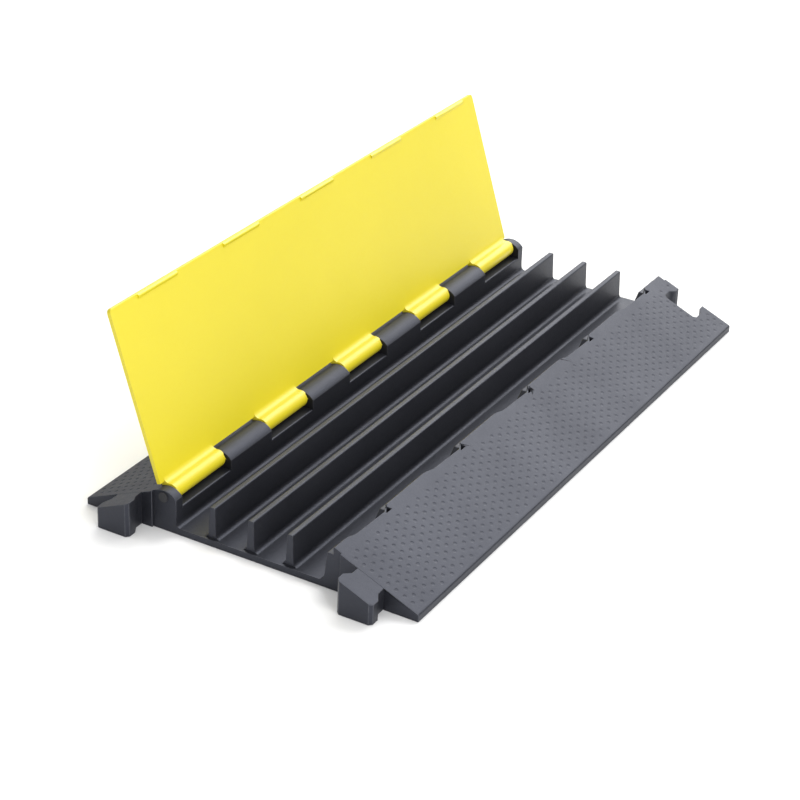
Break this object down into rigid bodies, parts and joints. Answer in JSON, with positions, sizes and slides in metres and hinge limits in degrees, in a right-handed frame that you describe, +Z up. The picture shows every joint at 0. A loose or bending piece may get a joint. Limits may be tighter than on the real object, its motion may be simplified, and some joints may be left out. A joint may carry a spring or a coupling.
{
  "type": "cable protector ramp",
  "caption": "Black rubber drive-over cable ramp with open cable channels, dimpled sloping sides, interlocking ends and a full-length yellow lid hinged along one side.",
  "frame": {"origin": "centre of the flat underside of the base, on the ground", "axes": "+X along the cable channels towards the socket end, +Y towards the hinge side, +Z up"},
  "size_m": [0.937, 0.472, 0.2716],
  "materials": {
    "black_rubber": "matt moulded rubber with a fine grain, greyed on worn top faces",
    "yellow_plastic": "satin moulded plastic, warm yellow",
    "rod_steel": "plain drawn steel",
    "black_plastic": "matt black plastic"
  },
  "bodies": {
    "base": {"front_ramp": "black_rubber", "rear_ramp": "black_rubber", "front_lug": "black_rubber", "rear_lug": "black_rubber", "ledge_rail": "black_rubber", "channel_floor": "black_rubber", "cable_divider_1": "black_rubber", "cable_divider_2": "black_rubber", "cable_divider_3": "black_rubber", "hinge_rail": "black_rubber", "end_knuckle_left": "black_rubber", "hinge_knuckle_1": "black_rubber", "hinge_knuckle_2": "black_rubber", "hinge_knuckle_3": "black_rubber", "hinge_knuckle_4": "black_rubber", "end_knuckle_right": "black_rubber", "hinge_rod": "rod_steel", "rod_plug_left": "black_plastic", "rod_plug_right": "black_plastic"},
    "lid": {"lid": "yellow_plastic"}
  },
  "joints": [
    {"name": "lid_hinge", "type": "hinge", "parent": "base", "child": "lid", "pos_m": [0, 0.122, 0.0465], "axis": [1, 0, 0], "range_deg": [0, 108]}
  ]
}
